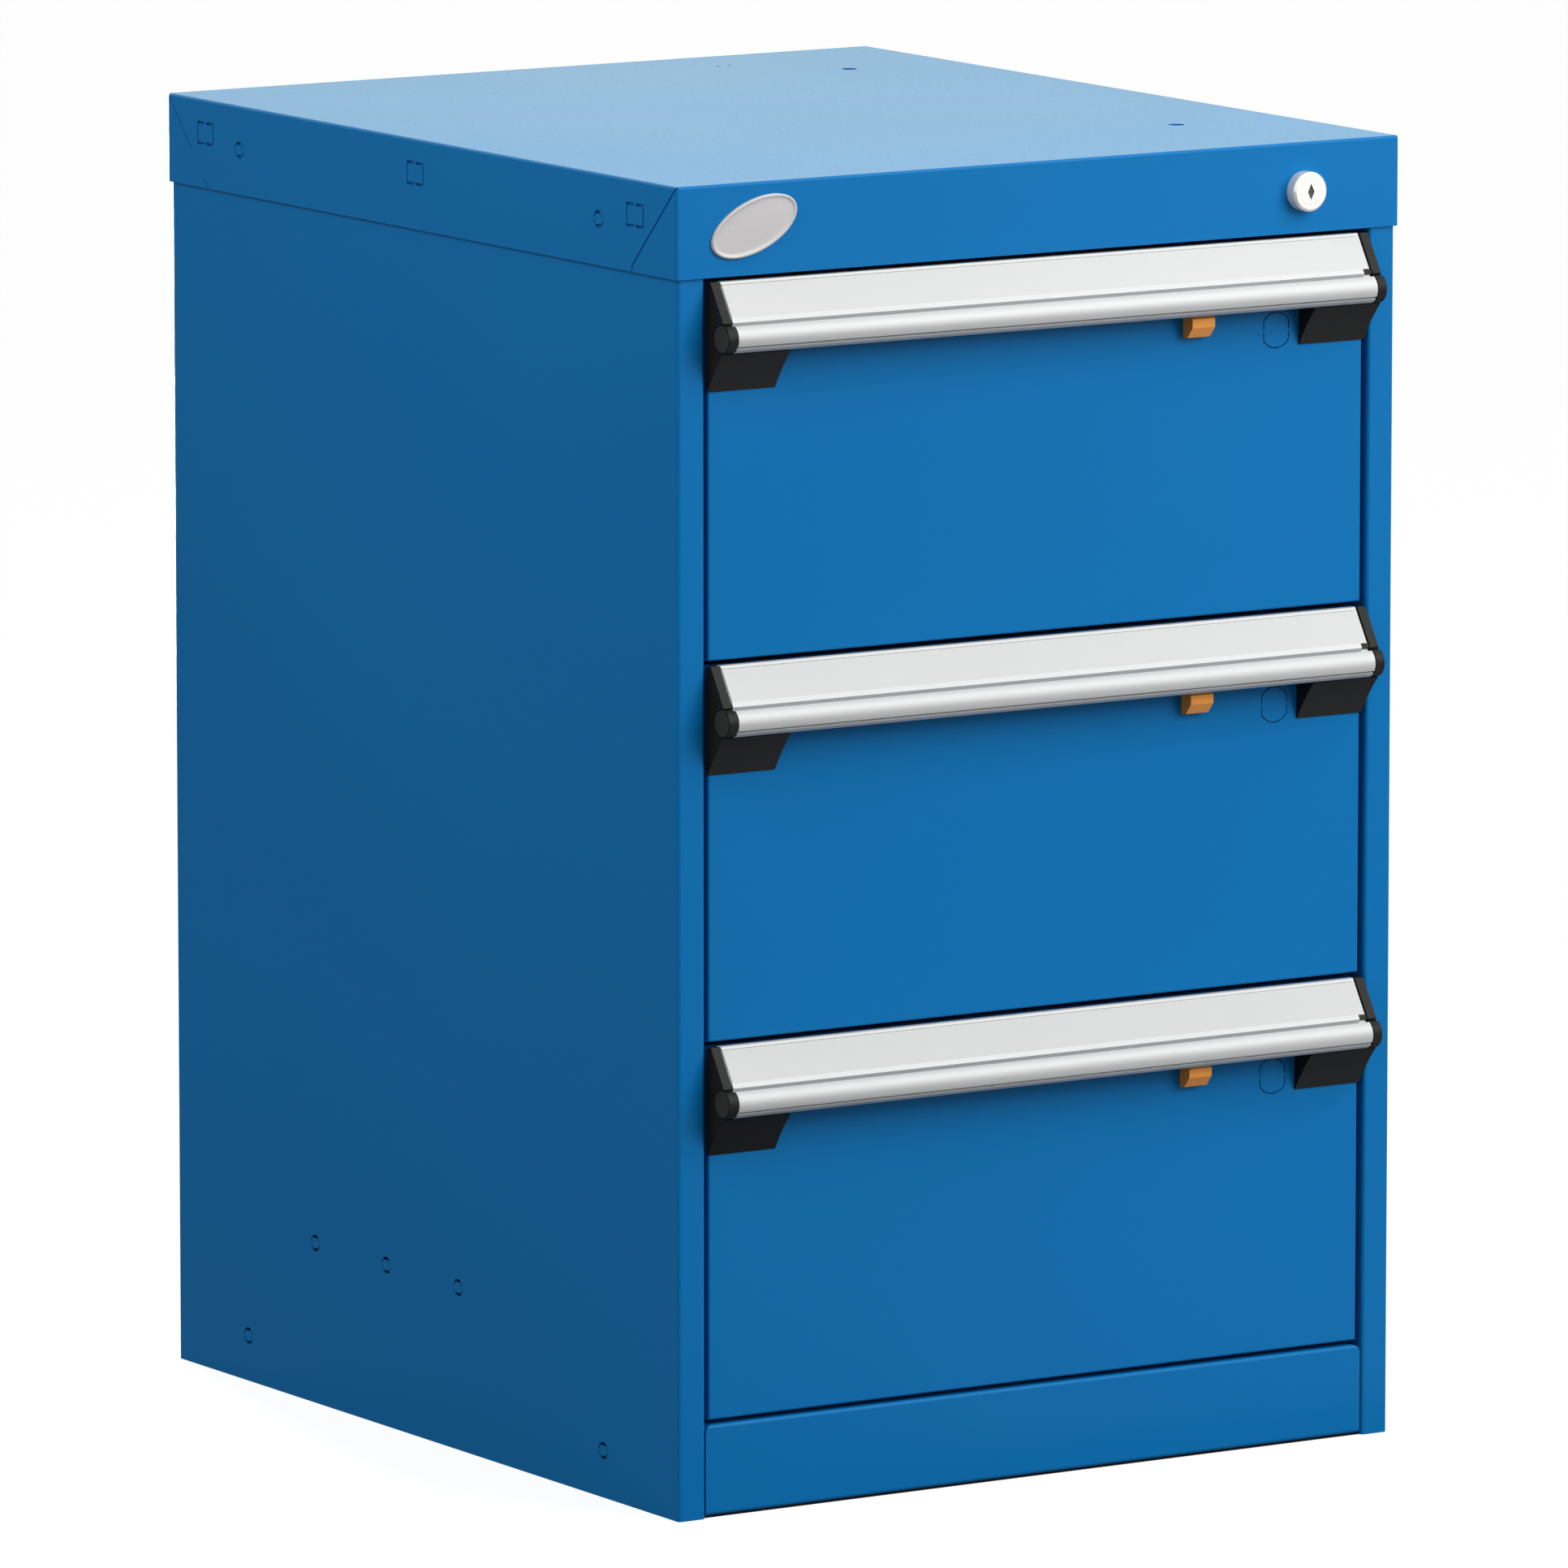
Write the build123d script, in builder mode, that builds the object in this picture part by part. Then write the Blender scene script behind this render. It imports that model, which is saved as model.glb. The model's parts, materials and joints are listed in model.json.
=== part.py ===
from build123d import *
from math import acos, cos, degrees, radians, sin
import os

os.makedirs("parts", exist_ok=True)

# A three-drawer steel cabinet in millimetres: X to the right, Y to the back, Z up.
# The origin is on the floor, at the middle of the box that the cabinet and its handles fill.

# Housing
width = 457.2
depth = 533.4
height = 711.2
base_height = 50.8
cap_zone = 50.8
bay_names = ["bottom", "middle", "top"]
sheet = 1.5
bend = 2.0
stile_width = 16.6
lip_depth = 36.5
foot_width = 26.0
cap_bend = 1.5
cap_gap = 1.8
seam = 0.8
seam_run = 44.3
seam_rise = 45.4
weld_start = 0.56
weld_end = 0.87
seam_start = 0.4
back_margin = 2.0
plinth_setback = 1.0
plinth_side_gap = 0.8
plinth_floor_gap = 1.2
plinth_top_gap = 0.8
plinth_flange = 20.0
plinth_corner = 4.5
pan_flange = 14.0
fit = 0.3

# Knock-outs and holes
knock_slot = 0.8
knock_bridge = 1.6
knock_round = 9.6
knock_sides = 16
knock_side_z = 89.5
knock_side_pitch = 76.2
knock_side_offset = 38.1
knock_foot_z = 25.4
knock_foot_inset = 78.4
knock_cap_drop = 24.4
knock_tab_length = 17.3
knock_tab_height = 11.4
knock_tab_drop = 18.8
knock_tab_inset = 41.5
top_hole = 8.8
top_hole_x = 155.0
top_hole_front = 105.4
top_hole_back = 97.8
pilot_hole = 2.4
pilot_x = 104.0
pilot_pitch = 7.5
pilot_inset = 46.5

# Drawer fronts
front_side_gap = 3.0
front_low_gap = 1.8
front_high_gap = 1.5
front_setback = 1.8
front_depth = 12.7
front_lip = 30.0
front_lip_margin = 10.0
front_bend = 1.2
keyed_diameter = 19.8
keyed_flats = 16.6
keyed_inset = 55.8
keyed_drop = 50.1
keyed_slot = 0.6

# Handle, its label and its end caps
handle_reach = 19.4
handle_top_gap = 0.6
handle_lip = 0.6
handle_slope = 32.3
slope_length = 24.0
handle_wall = 2.2
handle_flange = 14.4
handle_flange_wall = 1.8
bulb_radius = 8.0
bulb_depth = 10.0
bulb_drop = 29.2
bulb_start = -58
bulb_cap_end = 82
groove_depth = 2.2
rib_start = 29
rib_end = 41
rib_depth = 2.0
label_top = 1.6
label_foot = 2.8
label_recess = 0.9
label_thickness = 0.6
label_short = 0.5
lip_cut_top = 2.0
lip_cut_foot = 4.8
lip_cut_depth = 1.5
cap_end = 5.3
cap_overhang = 0.7
end_gap = 0.7
bracket_width = 42.0
bracket_reach = 13.2
bracket_height = 21.2
bracket_toe = 0.7
bracket_sag = 1.0
bracket_round = 1.2

# Drawer trays
tray_wall = 1.2
tray_lift = 6.0
tray_height = 160.0
tray_rear_gap = 46.0
tray_round = 2.5

# Telescopic roller slides
slide_lift = 24.0
gauge = 1.5
roller_width = 6.0
side_play = 0.6
captive_radius = 10.0
support_radius = 8.0
support_lift = 0.8
roller_sides = 24
roll_play = 0.3
tongue = 2.0
tip_play = 0.8
pin_radius = 2.5
pin_sides = 12
pin_play = 0.08
rail_front_gap = 2.0
rail_rear_gap = 6.0
support_inset = 14.0
captive_inset = 13.0
tongue_gap = 3.0
carriage_front_gap = 1.0
carriage_rear_gap = 4.0

# Drawer latch
tab_inset = 101.7
tab_width = 14.4
tab_height = 11.8
tab_drop = 38.2
tab_reach = 9.7
tab_toe = 4.6
tab_brow = 1.3
tab_face = 4.6
tab_round = 0.9
latch_setback = 4.5
latch_plate = 2.5
latch_height = 9.0
latch_tail = 6.0
latch_travel = 8.0
latch_tip_gap = 1.5
neck_width = 6.0
neck_height = 7.4
neck_inset = 1.0

# Cabinet lock
lock_inset = 61.9
lock_drop = 26.2
lock_head = 21.4
lock_reach = 7.5
lock_barrel = 19.0
lock_chamfer = 1.2
plug_radius = 7.0
plug_play = 0.06
tail_size = 8.0
key_width = 4.3
key_height = 9.1
key_depth = 3.0
nut_width = 26.0
nut_height = 4.5
cam_radius = 8.0
cam_pin = 2.0
cam_plate = 2.5
cam_rim = 3.5
cam_swing = 90.0
bar_setback = 30.5
bar_plate = 2.5
bar_width = 8.0
bar_gap = 2.0
bar_foot = 11.0
arm_height = 16.0
arm_end = 5.0
arm_slot_play = 0.5
arm_slot_room = 3.0
finger_height = 8.0
finger_lift = 102.0
finger_reach = 6.5
finger_slot_play = 1.0
strike_gap = 2.0
strike_height = 24.0
strike_notch = 16.0
strike_tail = 7.5

# Planes and edges that the pieces share
front = (handle_reach - depth) / 2
back = front + depth
middle = (front + back) / 2
body_front = front + sheet
body_back = back - sheet
body_half = width / 2 - sheet
body_top = height - sheet
wall_half = body_half - sheet
opening_half = body_half - stile_width
skirt_bottom = height - cap_zone + cap_gap
bay_pitch = (height - base_height - cap_zone) / len(bay_names)
plinth_top = base_height - plinth_top_gap
pan_top = plinth_top - sheet
front_half = opening_half - front_side_gap
panel_face = body_front + front_setback
panel_reach = front - panel_face
front_back = panel_face + front_depth
cap_outer = front_half + cap_overhang
handle_half = cap_outer - cap_end - end_gap
lock_x = width / 2 - lock_inset
lock_z = height - lock_drop
bar_front = body_front + bar_setback
bar_left = opening_half + sheet + bar_gap
bar_travel = 2 * cam_radius * sin(radians(cam_swing / 2))
tab_left = front_half - tab_inset - tab_width
latch_front = panel_face + latch_setback
latch_tip = opening_half - latch_tip_gap

# Slide section, from the opening's edge inwards
rail_web = opening_half - gauge
outer_roller = rail_web - side_play - roller_width / 2
carriage_out = rail_web - 2 * side_play - roller_width
carriage_in = carriage_out - gauge
inner_roller = carriage_in - side_play - roller_width / 2
runner_out = carriage_in - 2 * side_play - roller_width
tray_half = runner_out - gauge
track_height = 2 * (captive_radius + roll_play)
tongue_lift = support_lift + 2 * support_radius + roll_play

# Slide lengths, from the front to the back
rail_front = front_back + rail_front_gap
rail_back = body_back - rail_rear_gap
carriage_front = rail_front + carriage_front_gap
carriage_back = rail_back - carriage_rear_gap
tray_back = body_back - tray_rear_gap
rail_roller_y = rail_front + support_inset
carriage_front_roller_y = carriage_front + support_inset
carriage_rear_roller_y = carriage_back - captive_inset
drawer_roller_y = tray_back - captive_inset


def save(part, name):
    part.label = name
    export_step(part, f"parts/{name}.step")


def save_both(right_part, name, prefix=""):
    save(right_part, f"{prefix}right_{name}")
    save(mirror(right_part, about=Plane.YZ), f"{prefix}left_{name}")


def bay_floor(bay):
    return base_height + bay * bay_pitch


def bay_top(bay):
    return bay_floor(bay) + bay_pitch


# Outlines of the knock-outs: a slot round a slug, with two bridges that hold it
def round_knockouts(plane, centres):
    with BuildSketch(plane) as outline:
        with Locations(*centres):
            RegularPolygon(knock_round / 2, knock_sides)
            RegularPolygon(knock_round / 2 - knock_slot, knock_sides, mode=Mode.SUBTRACT)
            Rectangle(2 * knock_round, knock_bridge, mode=Mode.SUBTRACT)
    return outline.sketch


def tab_knockouts(plane, centres):
    with BuildSketch(plane) as outline:
        with Locations(*centres):
            Rectangle(knock_tab_length, knock_tab_height)
            Rectangle(knock_tab_length - 2 * knock_slot, knock_tab_height - 2 * knock_slot,
                      mode=Mode.SUBTRACT)
            Rectangle(knock_bridge, 2 * knock_tab_height, mode=Mode.SUBTRACT)
    return outline.sketch


def keyed_disc(centre, inset):
    with BuildSketch() as disc:
        with Locations(centre):
            Circle(keyed_diameter / 2 - inset)
            Rectangle(keyed_flats - 2 * inset, 2 * keyed_diameter, mode=Mode.INTERSECT)
    return disc.sketch


def keyed_knockout(plane, centre):
    with BuildSketch(plane) as outline:
        add(keyed_disc(centre, 0))
        add(keyed_disc(centre, keyed_slot), mode=Mode.SUBTRACT)
        with Locations(centre):
            Rectangle(2 * keyed_diameter, knock_bridge, mode=Mode.SUBTRACT)
    return outline.sketch


# Heights of the lock bar's fingers and of the latch bolt in a bay
def finger_bottom(bay):
    return bay_floor(bay) + finger_lift


def latch_middle(bay):
    return bay_top(bay) - tab_drop - tab_height / 2


# Side panel: one folded sheet, with a stile and a lip at each end and a foot along the floor
def side_panel(has_lock):
    with BuildPart() as panel:
        with BuildSketch():
            with BuildLine():
                FilletPolyline(
                    (opening_half, body_front + lip_depth),
                    (opening_half, body_front),
                    (body_half, body_front),
                    (body_half, body_back),
                    (opening_half, body_back),
                    (opening_half, body_back - lip_depth),
                    radius=bend,
                )
                offset(amount=sheet, side=Side.LEFT)
            make_face()
        extrude(amount=body_top)
        with BuildSketch():
            with Locations((body_half, middle)):
                Rectangle(foot_width, depth - 2 * (lip_depth + bend), align=(Align.MAX, Align.CENTER))
        extrude(amount=sheet)
        # The lips stop at the top bay, so that the lock's arm can pass
        with BuildSketch(Plane.XY.offset(skirt_bottom)):
            with Locations((opening_half, middle)):
                Rectangle(2 * (sheet + fit), body_back - body_front - 2 * bend)
        extrude(amount=cap_zone, mode=Mode.SUBTRACT)
        wall = Plane.YZ.offset(body_half)
        row_middle = middle + knock_side_offset
        side_row = [(row_middle + step * knock_side_pitch, knock_side_z) for step in (-1, 0, 1)]
        foot_row = [(front + knock_foot_inset, knock_foot_z), (back - knock_foot_inset, knock_foot_z)]
        extrude(round_knockouts(wall, side_row + foot_row), amount=-sheet, mode=Mode.SUBTRACT)
        if has_lock:
            with BuildSketch(Plane.YZ.offset(opening_half)):
                for bay in range(len(bay_names)):
                    with Locations((bar_front + bar_plate / 2, finger_bottom(bay) - fit)):
                        Rectangle(
                            bar_plate + 2 * finger_slot_play,
                            finger_height + bar_travel + finger_slot_play + fit,
                            align=(Align.CENTER, Align.MIN),
                        )
                    with Locations((latch_front + latch_plate / 2, latch_middle(bay))):
                        Rectangle(latch_plate + 2 * fit, latch_height + 2 * finger_slot_play)
            extrude(amount=sheet, mode=Mode.SUBTRACT)
    return panel.part


# Top cap: a folded tray with mitred side seams, knock-outs, bolt holes and the lock's hole
def top_cap():
    with BuildPart() as cap:
        with Locations((0, middle, height)):
            Box(width, depth, height - skirt_bottom, align=(Align.CENTER, Align.CENTER, Align.MAX))
        upper = cap.faces().sort_by(Axis.Z)[-1]
        fillet(cap.edges().filter_by(Axis.Z) + upper.edges(), radius=cap_bend)
        with Locations((0, middle, body_top)):
            Box(2 * body_half, body_back - body_front, cap_zone,
                align=(Align.CENTER, Align.CENTER, Align.MAX), mode=Mode.SUBTRACT)
        for side in (-1, 1):
            skirt = Plane.YZ.offset(side * width / 2)
            tabs = [(front + knock_tab_inset, height - knock_tab_drop), (middle, height - knock_tab_drop),
                    (back - knock_tab_inset, height - knock_tab_drop)]
            rounds = [(front + knock_foot_inset, height - knock_cap_drop),
                      (back - knock_foot_inset, height - knock_cap_drop)]
            extrude(tab_knockouts(skirt, tabs), amount=-side * sheet, mode=Mode.SUBTRACT)
            extrude(round_knockouts(skirt, rounds), amount=-side * sheet, mode=Mode.SUBTRACT)
            # The front seam is open all the way, and the rear one is welded in its middle
            with BuildSketch(skirt):
                with BuildLine():
                    Polyline(
                        (front + seam_start, height - seam_start),
                        (front + seam_run, height - seam_rise),
                        (front + seam_run + seam, skirt_bottom - seam),
                    )
                trace(line_width=seam)
                with BuildLine():
                    rear_line = Line(
                        (back - cap_bend, height - cap_bend),
                        (back - seam_run - seam, skirt_bottom - seam),
                        mode=Mode.PRIVATE,
                    )
                    Line(rear_line @ 0, rear_line @ weld_start)
                    Line(rear_line @ weld_end, rear_line @ 1)
                trace(line_width=seam)
            extrude(amount=-side * sheet, mode=Mode.SUBTRACT)
        with Locations(Plane.XY.offset(height)):
            with Locations((top_hole_x, front + top_hole_front), (top_hole_x, back - top_hole_back)):
                Hole(top_hole / 2, depth=sheet)
            with Locations((pilot_x, back - pilot_inset)):
                with GridLocations(pilot_pitch, 1, 2, 1):
                    Hole(pilot_hole / 2, depth=sheet)
        with Locations(Plane.XZ.offset(-front)):
            with Locations((lock_x, lock_z)):
                Hole(lock_barrel / 2 + plug_play, depth=sheet)
    return cap.part


# Back panel: a flat sheet on the rear flanges, below the cap
def back_panel():
    with BuildPart() as panel:
        with BuildSketch(Plane.XZ.offset(-body_back)):
            with Locations((0, back_margin)):
                Rectangle(2 * (body_half - back_margin), skirt_bottom - 2 * back_margin,
                          align=(Align.CENTER, Align.MIN))
            fillet(vertices(), radius=bend)
        extrude(amount=-sheet)
    return panel.part


# Bottom pan: a floor with tabs that reach into the four posts, and a turned-down flange on each side
def bottom_pan():
    pan_front = body_front + plinth_setback + bend
    pan_back = body_back - sheet
    tab_back = body_back - bend - fit
    post = lip_depth + fit
    with BuildPart() as pan:
        with BuildSketch(Plane.XY.offset(pan_top)):
            with Locations((0, pan_front)):
                Rectangle(2 * wall_half, tab_back - pan_front, align=(Align.CENTER, Align.MIN))
            with Locations((0, middle)):
                with GridLocations(2 * opening_half + sheet + fit, body_back - body_front - post, 2, 2):
                    Rectangle(sheet + fit, post, mode=Mode.SUBTRACT)
            with Locations((0, pan_front)):
                Rectangle(2 * opening_half, pan_back - pan_front, align=(Align.CENTER, Align.MIN))
        extrude(amount=-sheet)
        with BuildSketch(Plane.XY.offset(pan_top)):
            with Locations((wall_half, middle)):
                Rectangle(sheet, body_back - body_front - 2 * post, align=(Align.MAX, Align.CENTER))
            mirror(about=Plane.YZ)
        extrude(amount=-pan_flange)
    return pan.part


# Base plinth: a channel between the stiles, with rounded upper corners
def base_plinth():
    plinth_front = body_front + plinth_setback
    with BuildPart() as plinth:
        with BuildSketch(Plane.YZ):
            with BuildLine():
                FilletPolyline(
                    (plinth_front + plinth_flange, plinth_floor_gap),
                    (plinth_front, plinth_floor_gap),
                    (plinth_front, plinth_top),
                    (plinth_front + plinth_flange, plinth_top),
                    radius=bend,
                )
                offset(amount=sheet, side=Side.RIGHT)
            make_face()
        extrude(amount=opening_half - plinth_side_gap, both=True)
        with BuildSketch(Plane.XZ.offset(-plinth_front)):
            with Locations((0, plinth_top)):
                Rectangle(2 * (opening_half - plinth_side_gap), 2 * plinth_top,
                          align=(Align.CENTER, Align.MAX))
            fillet(vertices().group_by(Axis.Y)[-1], radius=plinth_corner)
        extrude(amount=-plinth_flange, mode=Mode.INTERSECT)
    return plinth.part


# Slides. Each member is a channel: a roller of the next member rolls captive in it,
# and the next member's tongue rides on the support roller at its front end.
def track_floor(bay):
    return bay_floor(bay) + slide_lift + gauge


def support_z(bay):
    return track_floor(bay) + support_lift + support_radius


def captive_z(bay):
    return track_floor(bay) + captive_radius + roll_play


def cabinet_rails():
    with BuildPart() as rails:
        for bay in range(len(bay_names)):
            with BuildSketch(Plane.XZ.offset(-rail_front)):
                with Locations((opening_half, track_floor(bay) - gauge)):
                    Rectangle(gauge, track_height + 2 * gauge, align=(Align.MAX, Align.MIN))
                    Rectangle(opening_half - carriage_out - tip_play, gauge, align=(Align.MAX, Align.MIN))
                with Locations((opening_half, track_floor(bay) + track_height)):
                    Rectangle(opening_half - carriage_out - tip_play, gauge, align=(Align.MAX, Align.MIN))
            extrude(amount=rail_front - rail_back)
            with BuildSketch(Plane.YZ.offset(rail_web)):
                with Locations((rail_roller_y, support_z(bay))):
                    RegularPolygon(pin_radius, pin_sides)
            extrude(amount=-(side_play + roller_width))
    return rails.part


def carriage(bay):
    tongue_back = carriage_rear_roller_y - captive_radius - tongue_gap
    with BuildPart() as member:
        with BuildSketch(Plane.XZ.offset(-carriage_front)):
            with Locations((carriage_in, track_floor(bay) - gauge)):
                Rectangle(gauge, track_height + 2 * gauge, align=(Align.MIN, Align.MIN))
            with Locations((carriage_out, track_floor(bay) - gauge),
                           (carriage_out, track_floor(bay) + track_height)):
                Rectangle(carriage_out - runner_out - tip_play, gauge, align=(Align.MAX, Align.MIN))
        extrude(amount=carriage_front - carriage_back)
        with BuildSketch(Plane.XZ.offset(-carriage_front)):
            with Locations((carriage_in, track_floor(bay) + tongue_lift)):
                Rectangle(rail_web - carriage_in - tip_play, tongue, align=(Align.MIN, Align.MIN))
        extrude(amount=carriage_front - tongue_back)
        with BuildSketch(Plane.YZ.offset(carriage_in)):
            with Locations((carriage_front_roller_y, support_z(bay))):
                RegularPolygon(pin_radius, pin_sides)
        extrude(amount=-(side_play + roller_width))
        with BuildSketch(Plane.YZ.offset(carriage_out)):
            with Locations((carriage_rear_roller_y, captive_z(bay))):
                RegularPolygon(pin_radius, pin_sides)
        extrude(amount=side_play + roller_width)
    return member.part


def runner(bay):
    tongue_back = drawer_roller_y - captive_radius - tongue_gap
    with BuildPart() as member:
        with BuildSketch(Plane.XZ.offset(-rail_front)):
            with Locations((tray_half, track_floor(bay))):
                Rectangle(gauge, tongue_lift + tongue, align=(Align.MIN, Align.MIN))
        extrude(amount=rail_front - tray_back)
        with BuildSketch(Plane.XZ.offset(-rail_front)):
            with Locations((tray_half, track_floor(bay) + tongue_lift)):
                Rectangle(carriage_in - tray_half - tip_play, tongue, align=(Align.MIN, Align.MIN))
        extrude(amount=rail_front - tongue_back)
        with BuildSketch(Plane.YZ.offset(runner_out)):
            with Locations((drawer_roller_y, captive_z(bay))):
                RegularPolygon(pin_radius, pin_sides)
        extrude(amount=side_play + roller_width)
    return member.part


# A left and a right roller on one axis
def roller_pair(x, y, z, radius):
    with BuildPart() as rollers:
        for side in (-1, 1):
            with BuildSketch(Plane.YZ.offset(side * x - roller_width / 2)):
                with Locations((y, z)):
                    RegularPolygon(radius, roller_sides)
            extrude(amount=roller_width)
        with BuildSketch(Plane.YZ):
            with Locations((y, z)):
                RegularPolygon(pin_radius + pin_play, pin_sides, major_radius=False,
                               rotation=180 / pin_sides)
        extrude(amount=width, both=True, mode=Mode.SUBTRACT)
    return rollers.part


# Drawer tray: an open box that the runners and the front are fixed to
def drawer_tray(bay):
    with BuildPart() as tray:
        with Locations((0, front_back, bay_floor(bay) + tray_lift)):
            Box(2 * tray_half, tray_back - front_back, tray_height,
                align=(Align.CENTER, Align.MIN, Align.MIN))
        fillet(tray.edges().group_by(Axis.Z)[0], radius=tray_round)
        offset(amount=-tray_wall, openings=tray.faces().sort_by(Axis.Z)[-1])
    return tray.part


# Drawer front: a folded pan with rear lips, a latch slot, a keyed knock-out and the lock's strike
def drawer_front(bay):
    low = bay_floor(bay) + front_low_gap
    high = bay_top(bay) - front_high_gap
    strike_low = finger_bottom(bay) + finger_height + strike_gap
    with BuildPart() as panel:
        with Locations((0, panel_face, low)):
            Box(2 * front_half, front_depth, high - low, align=(Align.CENTER, Align.MIN, Align.MIN))
        fillet(panel.faces().sort_by(Axis.Y)[0].edges(), radius=front_bend)
        with Locations((0, panel_face + sheet, low + sheet)):
            Box(2 * (front_half - sheet), front_depth, high - low - 2 * sheet,
                align=(Align.CENTER, Align.MIN, Align.MIN), mode=Mode.SUBTRACT)
        with BuildSketch(Plane.XZ.offset(-front_back)):
            with Locations((front_half, (low + high) / 2)):
                Rectangle(front_lip, high - low - 2 * front_lip_margin, align=(Align.MAX, Align.CENTER))
            mirror(about=Plane.YZ)
        extrude(amount=sheet)
        with BuildSketch(Plane.YZ.offset(front_half)):
            with Locations((front_back - sheet, strike_low)):
                Rectangle(bar_front + bar_plate + strike_tail - front_back + sheet, strike_height,
                          align=(Align.MIN, Align.MIN))
            with Locations((bar_front + bar_plate / 2, strike_low)):
                Rectangle(bar_plate + 2 * finger_slot_play, strike_notch, align=(Align.CENTER, Align.MIN),
                          mode=Mode.SUBTRACT)
        extrude(amount=-sheet)
        with BuildSketch(Plane.YZ.offset(front_half)):
            with Locations((latch_front + latch_plate / 2, latch_middle(bay))):
                Rectangle(latch_plate + 2 * fit, latch_height + 2 * fit)
        extrude(amount=-sheet, mode=Mode.SUBTRACT)
        with BuildSketch(Plane.XZ.offset(-panel_face)):
            with Locations((tab_left + neck_inset - fit, latch_middle(bay))):
                Rectangle(neck_width + latch_travel + 2 * fit, neck_height + 2 * fit,
                          align=(Align.MIN, Align.CENTER))
        extrude(amount=-sheet, mode=Mode.SUBTRACT)
        keyed_centre = (front_half - keyed_inset, bay_top(bay) - keyed_drop)
        keyed = keyed_knockout(Plane.XZ.offset(-panel_face), keyed_centre)
        extrude(keyed, amount=-sheet, mode=Mode.SUBTRACT)
    return panel.part


# Points of the handle's section, from the front plane and the top of the bay
def section_point(bay, reach, drop):
    return (front - reach, bay_top(bay) - drop)


def slope_point(bay, along, inwards):
    tilt = radians(handle_slope)
    reach = handle_lip + along * sin(tilt) - inwards * cos(tilt)
    drop = handle_top_gap + along * cos(tilt) + inwards * sin(tilt)
    return section_point(bay, reach, drop)


def bulb_point(bay, angle, radius=bulb_radius):
    reach = handle_reach - bulb_radius + radius * cos(radians(angle))
    drop = bulb_drop + radius * sin(radians(angle))
    return section_point(bay, reach, drop)


# Handle: an aluminium section with a sloped label face, a round bar and room for fingers behind
def lower_lip(bay):
    return [
        slope_point(bay, slope_length - label_foot, label_recess),
        slope_point(bay, slope_length - label_foot, 0),
        slope_point(bay, slope_length, 0),
        slope_point(bay, slope_length + groove_depth / 2, groove_depth),
    ]


def handle(bay):
    tilt = radians(handle_slope)
    flange_reach = panel_reach + handle_flange_wall
    inner_along = handle_wall * (1 - sin(tilt)) / cos(tilt)
    bulb_end = degrees(acos(1 - bulb_depth / bulb_radius))
    with BuildPart() as bar:
        with BuildSketch(Plane.YZ):
            with BuildLine():
                Polyline(
                    section_point(bay, panel_reach, handle_top_gap),
                    slope_point(bay, 0, 0),
                    slope_point(bay, label_top, 0),
                    slope_point(bay, label_top, label_recess),
                    *lower_lip(bay),
                    bulb_point(bay, bulb_start),
                )
                ThreePointArc(bulb_point(bay, bulb_start), bulb_point(bay, 0), bulb_point(bay, rib_start))
                Polyline(
                    bulb_point(bay, rib_start),
                    bulb_point(bay, rib_start, bulb_radius - rib_depth),
                    bulb_point(bay, rib_end, bulb_radius - rib_depth),
                    bulb_point(bay, rib_end),
                )
                ThreePointArc(bulb_point(bay, rib_end), bulb_point(bay, bulb_cap_end), bulb_point(bay, bulb_end))
                Polyline(
                    bulb_point(bay, bulb_end),
                    section_point(bay, handle_reach - bulb_depth, bulb_drop - bulb_radius / 2),
                    slope_point(bay, slope_length - label_foot, handle_wall),
                    slope_point(bay, inner_along, handle_wall),
                    section_point(bay, flange_reach, handle_top_gap + handle_wall),
                    section_point(bay, flange_reach, handle_flange),
                    section_point(bay, panel_reach, handle_flange),
                    section_point(bay, panel_reach, handle_top_gap),
                )
            make_face()
        extrude(amount=handle_half, both=True)
        # The lips are cut back at the right end, where a card is pushed in
        with BuildSketch(Plane.YZ.offset(handle_half)):
            with BuildLine():
                Polyline(
                    slope_point(bay, -label_top, -label_top),
                    slope_point(bay, label_top, -label_top),
                    slope_point(bay, label_top, label_recess),
                    slope_point(bay, -label_top, label_recess),
                    close=True,
                )
            make_face()
        extrude(amount=-lip_cut_top, mode=Mode.SUBTRACT)
        with BuildSketch(Plane.YZ.offset(handle_half)):
            with BuildLine():
                Polyline(
                    slope_point(bay, slope_length - label_foot, -label_top),
                    slope_point(bay, slope_length - label_foot, lip_cut_depth),
                    slope_point(bay, slope_length + groove_depth / 2, groove_depth),
                    bulb_point(bay, bulb_start),
                    slope_point(bay, slope_length + groove_depth, -label_top),
                    close=True,
                )
            make_face()
        extrude(amount=-lip_cut_foot, mode=Mode.SUBTRACT)
    return bar.part


def label_strip(bay):
    upper = label_top + plug_play
    lower = slope_length - label_foot - plug_play
    with BuildPart() as strip:
        with BuildSketch(Plane.YZ):
            with BuildLine():
                Polyline(
                    slope_point(bay, upper, label_recess),
                    slope_point(bay, upper, label_recess - label_thickness),
                    slope_point(bay, lower, label_recess - label_thickness),
                    slope_point(bay, lower, label_recess),
                    close=True,
                )
            make_face()
        extrude(amount=handle_half - label_short, both=True)
    return strip.part


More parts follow.
